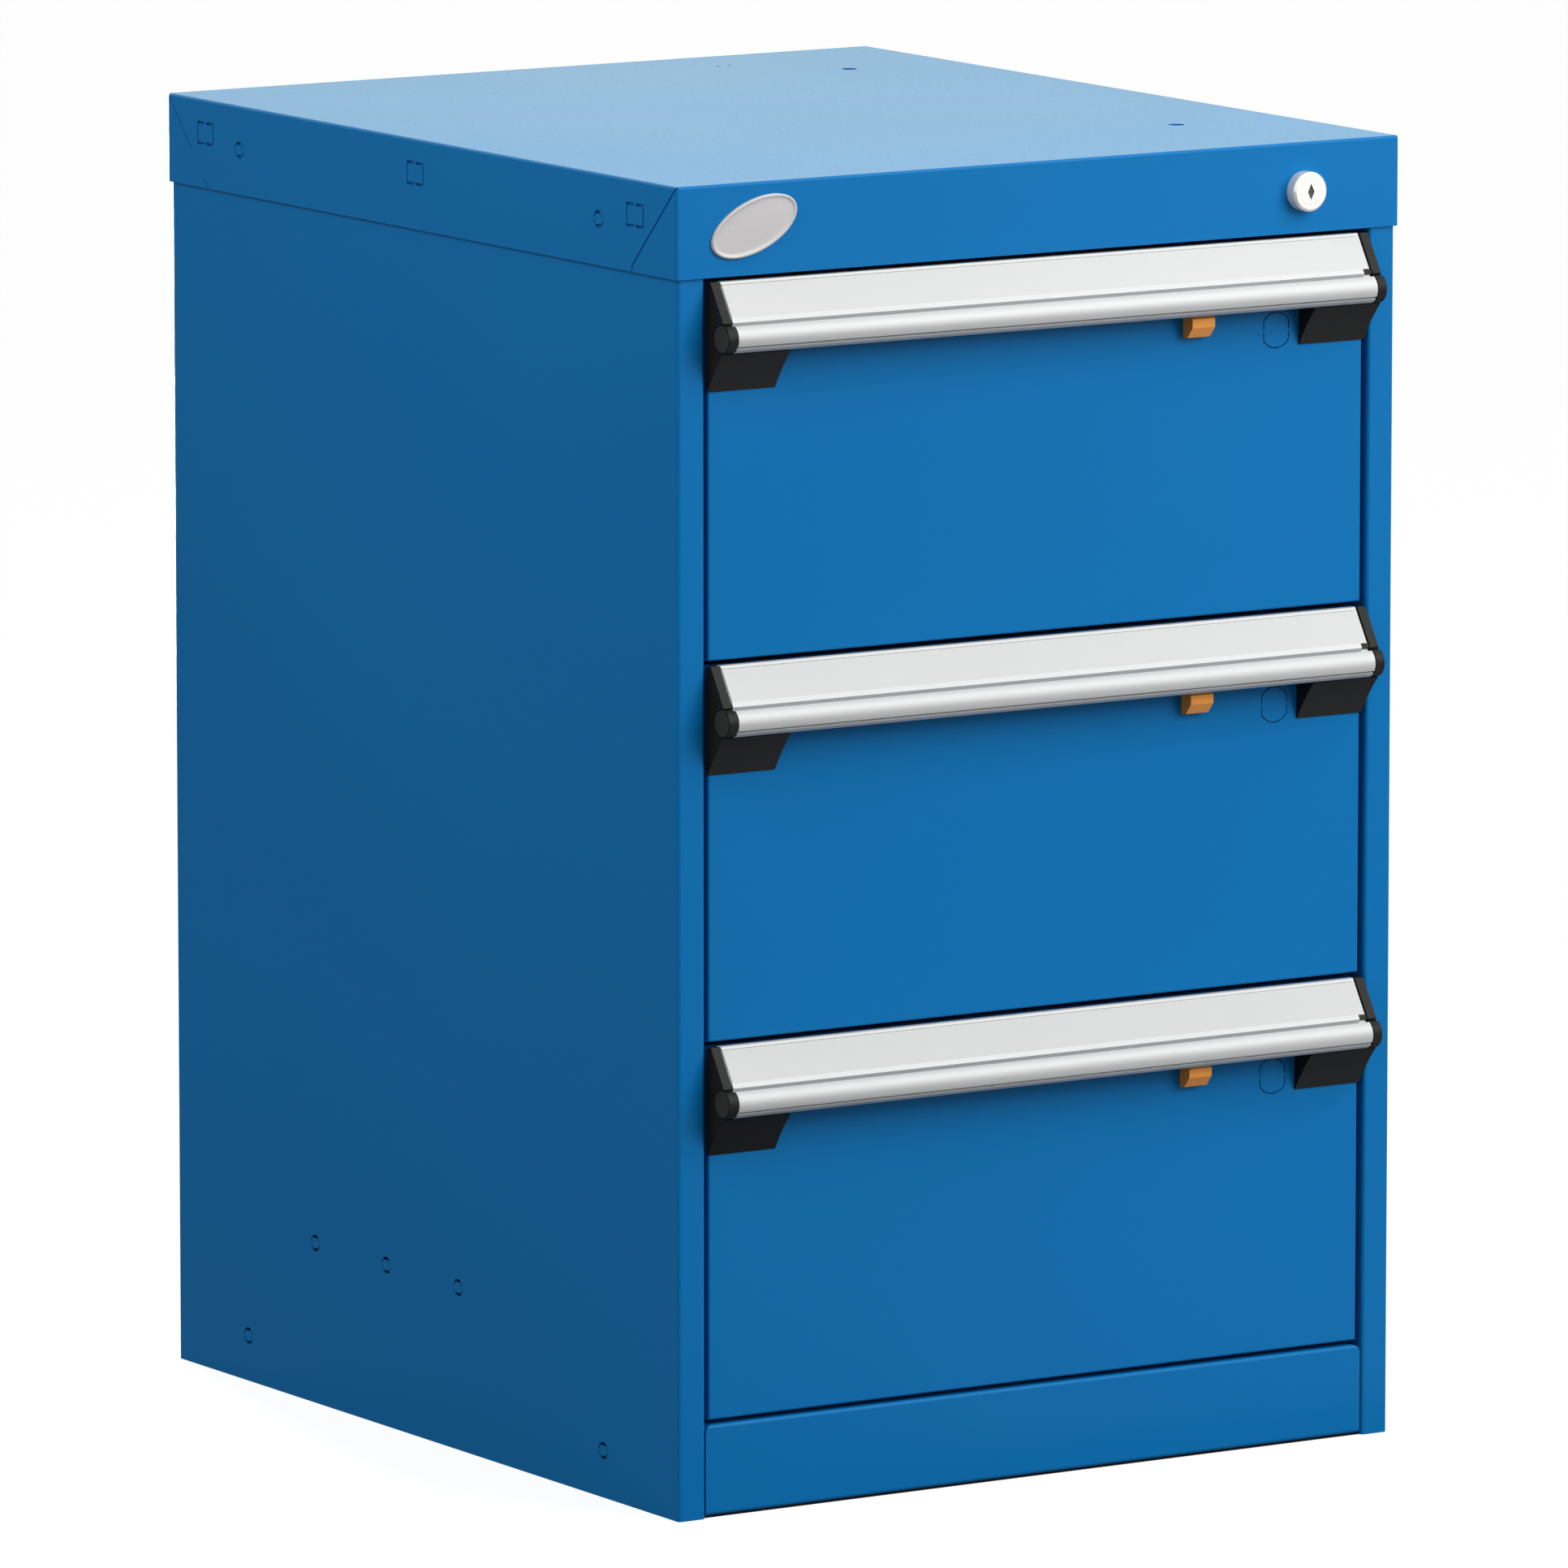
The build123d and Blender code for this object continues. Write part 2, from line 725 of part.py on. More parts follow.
# End cap: a moulded plate that closes the handle's end, with a bracket under the bar.
# The right one has a tongue that fills the cut in the lower lip.
def end_cap(bay, has_tongue):
    bracket_top = bulb_drop + bulb_radius + fit
    bracket_foot = section_point(bay, panel_reach + bracket_toe, bracket_top + bracket_height)
    bracket_head = section_point(bay, bracket_reach, bracket_top)
    sag_reach = (bracket_reach + panel_reach + bracket_toe) / 2 - bracket_sag
    sag_point = section_point(bay, sag_reach, bracket_top + bracket_height / 2)
    foot_on_panel = section_point(bay, panel_reach, bracket_top + bracket_height)
    with BuildPart() as moulding:
        with BuildSketch(Plane.YZ.offset(cap_outer)):
            with BuildLine():
                disc_top = bulb_point(bay, bulb_start)
                disc_bottom = bulb_point(bay, bulb_cap_end)
                Polyline(
                    foot_on_panel,
                    section_point(bay, panel_reach, handle_top_gap),
                    slope_point(bay, 0, 0),
                    slope_point(bay, slope_length, 0),
                    slope_point(bay, slope_length + groove_depth / 2, groove_depth / 2),
                    disc_top,
                )
                ThreePointArc(disc_top, bulb_point(bay, 0), disc_bottom)
                Line(disc_bottom, bracket_head)
                ThreePointArc(bracket_head, sag_point, bracket_foot)
                Line(bracket_foot, foot_on_panel)
            make_face()
        extrude(amount=-cap_end)
        with BuildSketch(Plane.YZ.offset(cap_outer)):
            with BuildLine():
                Polyline(foot_on_panel, section_point(bay, panel_reach, bracket_top), bracket_head)
                ThreePointArc(bracket_head, sag_point, bracket_foot)
                Line(bracket_foot, foot_on_panel)
            make_face()
        extrude(amount=-bracket_width)
        fillet(moulding.faces().sort_by(Axis.X)[0].edges().group_by(Axis.Y)[0], radius=bracket_round)
        if has_tongue:
            with BuildSketch(Plane.YZ.offset(cap_outer - cap_end)):
                with BuildLine():
                    Polyline(
                        slope_point(bay, slope_length - label_foot + plug_play, label_thickness),
                        slope_point(bay, slope_length, label_thickness),
                        slope_point(bay, slope_length, lip_cut_depth),
                        slope_point(bay, slope_length - label_foot + plug_play, lip_cut_depth),
                        close=True,
                    )
                make_face()
            extrude(amount=-(end_gap + lip_cut_foot - fit))
    return moulding.part


# Latch: a finger tab in front of the panel, on a bolt that slides behind it
def latch(bay):
    tab_top = bay_top(bay) - tab_drop
    face = panel_face - fit
    with BuildPart() as slider:
        with BuildSketch(Plane.YZ.offset(tab_left)):
            with BuildLine():
                Polyline(
                    (face, tab_top),
                    (panel_face - tab_reach + tab_brow, tab_top),
                    (panel_face - tab_reach, tab_top - tab_brow),
                    (panel_face - tab_reach, tab_top - tab_brow - tab_face),
                    (panel_face - tab_toe, tab_top - tab_height),
                    (face, tab_top - tab_height),
                    close=True,
                )
            make_face()
        extrude(amount=tab_width)
        fillet(slider.edges().filter_by(Axis.X).sort_by(Axis.Y)[:-2], radius=tab_round)
        with BuildSketch(Plane.XZ.offset(-face)):
            with Locations((tab_left + neck_inset, latch_middle(bay))):
                Rectangle(neck_width, neck_height, align=(Align.MIN, Align.CENTER))
        extrude(amount=face - latch_front)
        with BuildSketch(Plane.XZ.offset(-latch_front)):
            with Locations((latch_tip, latch_middle(bay))):
                Rectangle(latch_tip - tab_left + latch_tail, latch_height, align=(Align.MAX, Align.CENTER))
        extrude(amount=-latch_plate)
    return slider.part


# Cabinet lock: a cylinder in the cap, its nut, and a plug whose cam lifts the lock bar
cylinder_back = bar_front - cam_plate - 2 * fit
cam_back = bar_front - fit


def lock_cylinder():
    with BuildPart() as cylinder:
        with Locations(Plane.XZ.offset(-front)):
            with Locations((lock_x, lock_z)):
                Cylinder(lock_head / 2, lock_reach, align=(Align.CENTER, Align.CENTER, Align.MIN))
        chamfer(cylinder.edges().filter_by(GeomType.CIRCLE).sort_by(Axis.Y)[0], length=lock_chamfer)
        with Locations(Plane.XZ.offset(-front)):
            with Locations((lock_x, lock_z)):
                Cylinder(lock_barrel / 2, cylinder_back - front,
                         align=(Align.CENTER, Align.CENTER, Align.MAX))
                Hole(plug_radius + plug_play)
    return cylinder.part


def lock_nut():
    with BuildPart() as nut:
        with BuildSketch(Plane.XZ.offset(-body_front)):
            with Locations((lock_x, lock_z)):
                RegularPolygon(nut_width / 2, 6, major_radius=False)
                Circle(lock_barrel / 2 + plug_play, mode=Mode.SUBTRACT)
        extrude(amount=-nut_height)
    return nut.part


def lock_plug():
    with BuildPart() as plug:
        with BuildSketch(Plane.XZ.offset(lock_reach - front)):
            with Locations((lock_x, lock_z)):
                Circle(plug_radius)
        extrude(amount=front - lock_reach - cylinder_back)
        with BuildSketch(Plane.XZ.offset(-cylinder_back)):
            with Locations((lock_x, lock_z)):
                Rectangle(tail_size, tail_size)
        extrude(amount=cylinder_back - cam_back)
        with BuildSketch(Plane.XZ.offset(lock_reach - front)):
            with BuildLine():
                Polyline(
                    (lock_x, lock_z + key_height / 2),
                    (lock_x + key_width / 2, lock_z),
                    (lock_x, lock_z - key_height / 2),
                    (lock_x - key_width / 2, lock_z),
                    close=True,
                )
            make_face()
        extrude(amount=-key_depth, mode=Mode.SUBTRACT)
    return plug.part


def cam_pin_place():
    swing = radians(cam_swing / 2)
    return (lock_x + cam_radius * cos(swing), lock_z - cam_radius * sin(swing))


def lock_cam():
    cam_front = cam_back - cam_plate
    with BuildPart() as cam:
        with BuildSketch(Plane.XZ.offset(-cam_front)):
            with Locations((lock_x, lock_z)):
                Circle(tail_size / 2 + cam_rim)
            with Locations(cam_pin_place()):
                Circle(cam_pin + cam_rim)
            make_hull()
            with Locations((lock_x, lock_z)):
                Rectangle(tail_size + 2 * plug_play, tail_size + 2 * plug_play, mode=Mode.SUBTRACT)
        extrude(amount=-cam_plate)
        with BuildSketch(Plane.XZ.offset(-cam_back)):
            with Locations(cam_pin_place()):
                Circle(cam_pin)
        extrude(amount=-(bar_plate + 2 * fit))
    return cam.part


def lock_bar():
    pin_x, pin_z = cam_pin_place()
    bar_low = base_height + bar_foot
    arm_left = pin_x - cam_pin - arm_slot_room - arm_end
    slot_right = lock_x + cam_radius + cam_pin + arm_slot_room
    slot_left = pin_x - cam_pin - arm_slot_room
    with BuildPart() as bar:
        with BuildSketch(Plane.XZ.offset(-bar_front)):
            with Locations((bar_left, bar_low)):
                Rectangle(bar_width, pin_z + arm_height / 2 - bar_low, align=(Align.MIN, Align.MIN))
            with Locations((arm_left, pin_z)):
                Rectangle(bar_left + bar_width - arm_left, arm_height, align=(Align.MIN, Align.CENTER))
            for bay in range(len(bay_names)):
                with Locations((bar_left, finger_bottom(bay))):
                    Rectangle(bar_left - opening_half + finger_reach, finger_height,
                              align=(Align.MAX, Align.MIN))
            with Locations((slot_left, pin_z)):
                Rectangle(slot_right - slot_left, 2 * (cam_pin + arm_slot_play),
                          align=(Align.MIN, Align.CENTER), mode=Mode.SUBTRACT)
        extrude(amount=-bar_plate)
    return bar.part


# Write every piece
save(side_panel(has_lock=True), "right_side_panel")
save(mirror(side_panel(has_lock=False), about=Plane.YZ), "left_side_panel")
save(top_cap(), "top_cap")
save(back_panel(), "back_panel")
save(bottom_pan(), "bottom_pan")
save(base_plinth(), "base_plinth")
save_both(cabinet_rails(), "cabinet_rails")
save(lock_cylinder(), "lock_cylinder")
save(lock_nut(), "lock_nut")
save(lock_plug(), "lock_plug")
save(lock_cam(), "lock_cam")
save(lock_bar(), "lock_bar")
for bay, bay_name in enumerate(bay_names):
    prefix = f"{bay_name}_"
    save(drawer_tray(bay), f"{prefix}drawer_tray")
    save(drawer_front(bay), f"{prefix}drawer_front")
    save(handle(bay), f"{prefix}handle")
    save(label_strip(bay), f"{prefix}label_strip")
    save(latch(bay), f"{prefix}latch")
    save(end_cap(bay, has_tongue=True), f"{prefix}right_end_cap")
    save(mirror(end_cap(bay, has_tongue=False), about=Plane.YZ), f"{prefix}left_end_cap")
    save_both(runner(bay), "runner", prefix)
    save_both(carriage(bay), "carriage", prefix)
    support = support_z(bay)
    captive = captive_z(bay)
    rail_rollers = roller_pair(outer_roller, rail_roller_y, support, support_radius)
    rear_rollers = roller_pair(outer_roller, carriage_rear_roller_y, captive, captive_radius)
    front_rollers = roller_pair(inner_roller, carriage_front_roller_y, support, support_radius)
    drawer_rollers = roller_pair(inner_roller, drawer_roller_y, captive, captive_radius)
    save(rail_rollers, f"{prefix}rail_rollers")
    save(rear_rollers, f"{prefix}carriage_rear_rollers")
    save(front_rollers, f"{prefix}carriage_front_rollers")
    save(drawer_rollers, f"{prefix}drawer_rollers")
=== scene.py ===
# %% [markdown]
# A three-drawer workshop cabinet, dressed on its CAD frame.
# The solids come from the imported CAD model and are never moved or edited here. This lesson gives each
# of them a finish made of shader nodes, adds the few thin pieces that CAD leaves out, and sets up the
# camera and a plain studio.

# %% Load the frame
import bpy
import bmesh
import json
import math
from mathutils import Matrix, Vector


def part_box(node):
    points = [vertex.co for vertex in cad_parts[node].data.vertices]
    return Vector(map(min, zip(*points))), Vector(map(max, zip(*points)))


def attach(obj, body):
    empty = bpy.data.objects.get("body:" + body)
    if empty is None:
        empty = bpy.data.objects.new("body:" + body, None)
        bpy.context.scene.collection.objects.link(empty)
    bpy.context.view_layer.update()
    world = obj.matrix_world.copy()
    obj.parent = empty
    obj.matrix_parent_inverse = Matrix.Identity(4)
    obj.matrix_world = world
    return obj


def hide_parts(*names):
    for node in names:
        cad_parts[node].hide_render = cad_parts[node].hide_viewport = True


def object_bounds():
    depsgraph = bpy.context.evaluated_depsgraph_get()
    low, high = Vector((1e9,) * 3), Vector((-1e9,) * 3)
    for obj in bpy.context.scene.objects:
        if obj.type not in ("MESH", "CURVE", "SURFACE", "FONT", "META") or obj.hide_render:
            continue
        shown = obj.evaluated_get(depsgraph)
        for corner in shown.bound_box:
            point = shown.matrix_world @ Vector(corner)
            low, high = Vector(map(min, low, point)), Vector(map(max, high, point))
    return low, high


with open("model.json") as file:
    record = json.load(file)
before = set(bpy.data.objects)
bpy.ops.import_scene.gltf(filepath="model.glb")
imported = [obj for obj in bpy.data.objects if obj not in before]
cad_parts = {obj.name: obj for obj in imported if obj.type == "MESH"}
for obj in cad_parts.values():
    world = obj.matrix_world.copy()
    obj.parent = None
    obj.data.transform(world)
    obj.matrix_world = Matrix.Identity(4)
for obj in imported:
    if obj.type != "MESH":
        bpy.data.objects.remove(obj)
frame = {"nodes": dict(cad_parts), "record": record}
cad_low, cad_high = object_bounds()
nodes = frame["nodes"]
bays = ["bottom", "middle", "top"]
print("solids:", len(nodes), "box in mm:", [round(1000 * v, 1) for v in cad_high - cad_low])

# %% [markdown]
# The photograph was taken with a long lens from the front left, a little above the cabinet. The angles,
# the distance and the lens were fitted to the cabinet's corners, so the picture can be compared with the
# photograph place by place. A long lens far away keeps upright edges upright. In Blender the lens is data,
# and an object puts it into the scene. One helper makes such an object, for lamps and meshes as well.


# %% Camera
def add_object(name, data):
    made = bpy.data.objects.new(name, data)
    bpy.context.scene.collection.objects.link(made)
    return made


azimuth = math.radians(-32.19)
elevation = math.radians(8.965)
distance = 8.1202
aim = Vector((0.00553, 0.0097, 0.34086))
back_along = Vector((math.sin(azimuth) * math.cos(elevation), -math.cos(azimuth) * math.cos(elevation),
                     math.sin(elevation)))
lens = bpy.data.cameras.new("long_lens")
lens.sensor_width = 36.0
lens.lens = 339.53
lens.clip_end = 200.0
camera = add_object("camera", lens)
camera.location = aim + distance * back_along
camera.rotation_mode = "QUATERNION"
camera.rotation_quaternion = (-back_along).to_track_quat("-Z", "Y")
bpy.context.scene.camera = camera
bpy.context.scene.view_settings.view_transform = "Standard"
print("camera at", [round(v, 3) for v in camera.location])

# %% [markdown]
# A finish is a small network of shader nodes. Written as node after node it is hard to read, so one class
# wraps a socket: plus, minus and times on it add Math nodes, and one method adds any other node. After
# that, a roughness reads like the formula that it is.


# %% A socket that does maths
class Wire:
    def __init__(self, tree, socket=None):
        self.tree = tree
        self.socket = socket

    def add(self, kind, settings=None, sockets=None, out=0):
        node = self.tree.nodes.new(kind)
        for name, value in (settings or {}).items():
            setattr(node, name, value)
        for name, value in (sockets or {}).items():
            if isinstance(value, Wire):
                self.tree.links.new(value.socket, node.inputs[name])
            else:
                node.inputs[name].default_value = value
        return Wire(self.tree, node.outputs[out])

    def maths(self, operation, left, right):
        return self.add("ShaderNodeMath", {"operation": operation}, {0: left, 1: right})

    def __add__(self, other):
        return self.maths("ADD", self, other)

    def __radd__(self, other):
        return self.maths("ADD", other, self)

    def __sub__(self, other):
        return self.maths("SUBTRACT", self, other)

    def __rsub__(self, other):
        return self.maths("SUBTRACT", other, self)

    def __mul__(self, other):
        return self.maths("MULTIPLY", self, other)

    def __rmul__(self, other):
        return self.maths("MULTIPLY", other, self)


# %% [markdown]
# All the finishes start in the same way: a Principled shader, and the place of a point on its own piece,
# which is what Object coordinates give. Constant values go straight to the shader's sockets, and only
# what changes over a surface is linked.


# %% Start and feed a finish
def start_finish(name, **constants):
    material = bpy.data.materials.new(name)
    material.use_nodes = True
    shader = material.node_tree.nodes["Principled BSDF"]
    for socket, value in constants.items():
        shader.inputs[socket.replace("_", " ")].default_value = value
    place = Wire(material.node_tree).add("ShaderNodeTexCoord", out="Object")
    return material, shader, place


def feed(shader, **wires):
    for socket, wire in wires.items():
        wire.tree.links.new(wire.socket, shader.inputs[socket.replace("_", " ")])


def noise(place, scale, detail=2.0):
    return place.add("ShaderNodeTexNoise", None, {"Vector": place, "Scale": scale, "Detail": detail},
                     "Fac")


def mix_colours(factor, first, second):
    return factor.add("ShaderNodeMix", {"data_type": "RGBA"}, {0: factor, 6: first, 7: second}, 2)


def bump(height, strength, depth):
    return height.add("ShaderNodeBump", None, {"Height": height, "Strength": strength, "Distance": depth},
                      "Normal")


def stretched(place, x, y, z):
    return place.add("ShaderNodeMapping", None, {"Vector": place, "Scale": (x, y, z)})


def shade_of(colour, factor):
    return (colour[0] * factor, colour[1] * factor, colour[2] * factor, 1.0)


# %% [markdown]
# The sheet metal is powder coated. Powder melts into a skin with a soft ripple, called orange peel, about
# two millimetres from crest to crest, with a finer grain on top. The ripple bends the reflections, so it
# feeds Bump, and the grain makes the gloss uneven. A slow drift of the colour keeps large panels from
# looking printed.


# %% Powder coat
def powder_coat(name, colour, roughness):
    material, shader, place = start_finish(name, Specular_IOR_Level=0.07)
    peel = noise(place, 430.0)
    grain = noise(place, 2100.0, 1.0)
    drift = noise(place, 2.4)
    shade = 0.6 * drift + 0.4 * grain
    feed(shader,
         Base_Color=mix_colours(shade, shade_of(colour, 0.93), shade_of(colour, 1.07)),
         Roughness=roughness + 0.10 * (peel - 0.5) + 0.06 * (drift - 0.5),
         Normal=bump(0.75 * peel + 0.25 * grain, 0.35, 0.00012))
    return material


blue_coat = powder_coat("blue_powder_coat", (0.003, 0.15, 0.408), roughness=0.34)
grey_coat = powder_coat("light_grey_powder_coat", (0.52, 0.54, 0.55), roughness=0.42)
print("powder coats:", blue_coat.name, grey_coat.name)

# %% [markdown]
# The handles are an aluminium section. Pressing it through a die leaves fine lines along its length, and
# anodising gives it an even satin. Noise that is stretched along X gives such lines.


# %% Drawn aluminium
def drawn_aluminium():
    material, shader, place = start_finish("drawn_aluminium", Metallic=0.2, Specular_IOR_Level=0.3)
    lines = noise(stretched(place, 3.0, 900.0, 900.0), 1.0, 3.0)
    cloud = noise(place, 9.0)
    darker = (0.43, 0.434, 0.442, 1.0)
    paler = (0.48, 0.484, 0.492, 1.0)
    feed(shader,
         Base_Color=mix_colours(0.7 * lines + 0.3 * cloud, darker, paler),
         Roughness=0.54 + 0.14 * (lines - 0.5) + 0.05 * (cloud - 0.5),
         Normal=bump(lines, 0.25, 0.00004))
    return material


aluminium = drawn_aluminium()
print("handle finish:", aluminium.name)

# %% [markdown]
# The label strip is plain white card. Paper is never quite even: its fibres show as a faint cloud and a
# faint tooth.


# %% White card
def white_card():
    material, shader, place = start_finish("white_card", Specular_IOR_Level=0.25)
    fibres = noise(stretched(place, 260.0, 900.0, 900.0), 1.0, 4.0)
    cloud = noise(place, 40.0)
    darker = (0.53, 0.53, 0.527, 1.0)
    paler = (0.57, 0.57, 0.567, 1.0)
    feed(shader,
         Base_Color=mix_colours(0.5 * fibres + 0.5 * cloud, darker, paler),
         Roughness=0.62 + 0.12 * (fibres - 0.5),
         Normal=bump(fibres, 0.15, 0.00004))
    return material


card = white_card()
print("label finish:", card.name)

# %% [markdown]
# The end caps and the latches are moulded. A mould is spark eroded, and its fine pits print on the part.
# Nylon rollers are the same with a waxy, milky colour, so one function makes the three.


# %% Moulded plastics
def moulded(name, colour, roughness, pit_scale, specular):
    material, shader, place = start_finish(name, Specular_IOR_Level=specular)
    pits = noise(place, pit_scale, 2.0)
    flow = noise(stretched(place, 12.0, 30.0, 30.0), 1.0)
    feed(shader,
         Base_Color=mix_colours(0.5 * pits + 0.5 * flow, shade_of(colour, 0.88), shade_of(colour, 1.12)),
         Roughness=roughness + 0.12 * (pits - 0.5) + 0.06 * (flow - 0.5),
         Normal=bump(pits, 0.30, 0.00008))
    return material


black_plastic = moulded("black_moulding", (0.0125, 0.0122, 0.0118), roughness=0.42, pit_scale=1500.0,
                        specular=0.08)
orange_plastic = moulded("orange_moulding", (0.92, 0.325, 0.032), roughness=0.34, pit_scale=900.0,
                         specular=0.4)
nylon = moulded("natural_nylon", (0.74, 0.73, 0.68), roughness=0.42, pit_scale=1100.0, specular=0.5)
print("mouldings:", black_plastic.name, orange_plastic.name, nylon.name)

# %% [markdown]
# The outer face of an end cap has a thin sunk line round the boss that closes the bar. The two halves of
# the mould meet there. It is too shallow for CAD, so the shader paints its shade: the distance from the
# bar's axis, counted from the nearest of the three bars, picks out a narrow ring, painted near black. The
# boss within it is painted a little paler.


# %% Painted shade of the line round the boss
def paint_ring_shade(material, axis, pitch, radius, width):
    tree = material.node_tree
    shader = tree.nodes["Principled BSDF"]
    plain = Wire(tree, shader.inputs["Base Color"].links[0].from_socket)
    place = plain.add("ShaderNodeTexCoord", out="Object")
    across = place.add("ShaderNodeSeparateXYZ", None, {0: place}, 1) - axis.y
    above = place.add("ShaderNodeSeparateXYZ", None, {0: place}, 2) - (axis.z - pitch / 2)
    above = above.maths("FLOORED_MODULO", above, pitch) - pitch / 2
    away = above.maths("POWER", across * across + above * above, 0.5)
    boss = away.maths("LESS_THAN", away, radius)
    ring = away.add("ShaderNodeMath", {"operation": "COMPARE"}, {0: away, 1: radius, 2: width / 2})
    # The ring is painted near black as the shade in the sunk line, and the boss is painted a little paler
    paler_boss_black = (0.034, 0.033, 0.032, 1.0)
    ring_shade_black = (0.002, 0.002, 0.002, 1.0)
    feed(shader, Base_Color=mix_colours(ring, mix_colours(boss, plain, paler_boss_black), ring_shade_black))


bar_radius = 0.008
ring_inset = 0.0005
ring_width = 0.0007
bar_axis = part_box("bottom_handle")[0] + Vector((0.0, bar_radius, bar_radius))
bar_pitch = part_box("middle_handle")[0].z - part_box("bottom_handle")[0].z
paint_ring_shade(black_plastic, bar_axis, bar_pitch, bar_radius - ring_inset, ring_width)
print("bars are apart by mm:", round(1000 * bar_pitch, 1))

# %% [markdown]
# The slides are zinc plated. Zinc looks bright but cloudy, with a faint yellow and blue tint here and
# there. The lock is plated too, but satin: hairlines from a brush spread what it mirrors.


# %% Plated metals
def zinc_plate():
    material, shader, place = start_finish("zinc_plate", Metallic=1.0)
    cloud = noise(place, 55.0, 3.0)
    rolled = noise(stretched(place, 700.0, 6.0, 700.0), 1.0, 2.0)
    feed(shader,
         Base_Color=mix_colours(cloud, (0.60, 0.62, 0.65, 1.0), (0.74, 0.73, 0.70, 1.0)),
         Roughness=0.30 + 0.16 * (cloud - 0.5) + 0.10 * (rolled - 0.5),
         Normal=bump(rolled, 0.20, 0.00003))
    return material


def satin_chrome():
    material, shader, place = start_finish("satin_chrome", Metallic=0.3)
    hairlines = noise(stretched(place, 350.0, 350.0, 5000.0), 1.0, 3.0)
    haze = noise(place, 120.0)
    feed(shader,
         Base_Color=mix_colours(haze, (0.66, 0.645, 0.63, 1.0), (0.74, 0.725, 0.71, 1.0)),
         Roughness=0.16 + 0.10 * hairlines + 0.06 * haze,
         Normal=bump(hairlines, 0.08, 0.00002))
    return material


zinc = zinc_plate()
chrome = satin_chrome()
print("plated:", zinc.name, chrome.name)

# %% [markdown]
# Each solid's slot in the record says what it is made of, so a table from slot to finish dresses them
# all.

# %% Dress the solids
finish_of_slot = {
    "housing_paint": blue_coat,
    "drawer_paint": blue_coat,
    "tray_paint": grey_coat,
    "handle_aluminium": aluminium,
    "label_card": card,
    "black_plastic": black_plastic,
    "latch_plastic": orange_plastic,
    "slide_steel": zinc,
    "roller_nylon": nylon,
    "lock_chrome": chrome,
}
for part in frame["record"]["subparts"]:
    solid = nodes[part["node"]]
    solid.data.materials.clear()
    solid.data.materials.append(finish_of_slot[part["material_slot"]])

# %% [markdown]
# A small oval plate is fixed to the left of the cap's front. It is stamped with a raised rim and a
# slightly domed field, and is left bare here. Rings of points, each a little further in, follow that
# profile.


# %% Badge plate
def mesh_from(build, name):
    mesh = bpy.data.meshes.new(name)
    build.to_mesh(mesh)
    build.free()
    return mesh


def oval_plate(name, centre, half_long, half_short, tilt, profile):
    steps = 96
    turned = Matrix.Rotation(-tilt, 4, "Y")
    build = bmesh.new()
    rings = []
    for inset, rise in profile:
        ring = []
        for step in range(steps):
            turn = 2 * math.pi * step / steps
            x = (half_long - inset) * math.cos(turn)
            z = (half_short - inset) * math.sin(turn)
            ring.append(build.verts.new(centre + turned @ Vector((x, -rise, z))))
        rings.append(ring)
    for outer, inner in zip(rings, rings[1:]):
        for step in range(steps):
            after = (step + 1) % steps
            build.faces.new((outer[step], outer[after], inner[after], inner[step]))
    build.faces.new(rings[0])
    build.faces.new(rings[-1])
    bmesh.ops.recalc_face_normals(build, faces=build.faces)
    mesh = mesh_from(build, name)
    mesh.shade_smooth()
    mesh.set_sharp_from_angle(angle=math.radians(38))
    return add_object(name, mesh)


cap_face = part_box("top_cap")[0].y
badge_x = -0.1812
badge_z = 0.688
# Each ring of the profile: how far it lies within the outline, and how high above the cap
rim_and_field = [(0.0, 0.0), (0.0, 0.0011), (0.0003, 0.0015), (0.0009, 0.0017), (0.0015, 0.0015),
                 (0.0020, 0.0011), (0.0030, 0.00105), (0.0060, 0.00115), (0.0095, 0.0012)]
badge = oval_plate("badge_plate", Vector((badge_x, cap_face, badge_z)), half_long=0.0278,
                   half_short=0.0138, tilt=math.radians(21.8), profile=rim_and_field)
badge.data.materials.append(moulded("pale_badge", (0.49, 0.475, 0.48), roughness=0.36, pit_scale=900.0,
                                    specular=0.4))
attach(badge, "housing")
print("badge faces:", len(badge.data.polygons))

# %% [markdown]
# The key slot of the lock shows as a dark diamond, from the shade inside it. That shade is painted: a thin
# dark plate with the slot's outline, a little way inside it, stands in for it, and it turns with the
# plug.


# %% Painted shade in the key slot
def diamond_plate(name, centre, half_wide, half_high, thickness):
    corners = [(half_wide, 0.0), (0.0, half_high), (-half_wide, 0.0), (0.0, -half_high)]
    points = [centre + Vector((x, y, z)) for y in (0.0, thickness) for x, z in corners]
    sides = [(0, 1, 2, 3), (7, 6, 5, 4)] + [(i, i + 4, (i + 1) % 4 + 4, (i + 1) % 4) for i in range(4)]
    build = bmesh.new()
    verts = [build.verts.new(point) for point in points]
    for side in sides:
        build.faces.new([verts[i] for i in side])
    bmesh.ops.recalc_face_normals(build, faces=build.faces)
    return add_object(name, mesh_from(build, name))


plug_low, plug_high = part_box("lock_plug")
shade_plate_depth = 0.0007
slot_place = (plug_low + plug_high) / 2
slot_place.y = plug_low.y + shade_plate_depth
# A dark plate, painted as the shade inside the key slot
slot_shade_plate = diamond_plate("key_slot_shade", slot_place, half_wide=0.0021, half_high=0.0045, thickness=0.0006)
slot_shade_plate.data.materials.append(moulded("slot_shade_dark", (0.085, 0.083, 0.083), roughness=0.5,
                                      pit_scale=1800.0, specular=0.1))
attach(slot_shade_plate, "lock_plug")
print("shutter at y in mm:", round(1000 * slot_place.y, 2))

# %% [markdown]
# A press punches slots into flat sheet before it is folded. Geometry Nodes does it here: each row of slots
# is a line of points with a box on every point, and the boxes are taken from a copy of the solid. The
# copy's loose triangles are merged first, and slivers that the cut leaves are dissolved. The copy is shaded
# flat, since smooth shading would bend the light over its long triangles. Then it stands in for the solid.


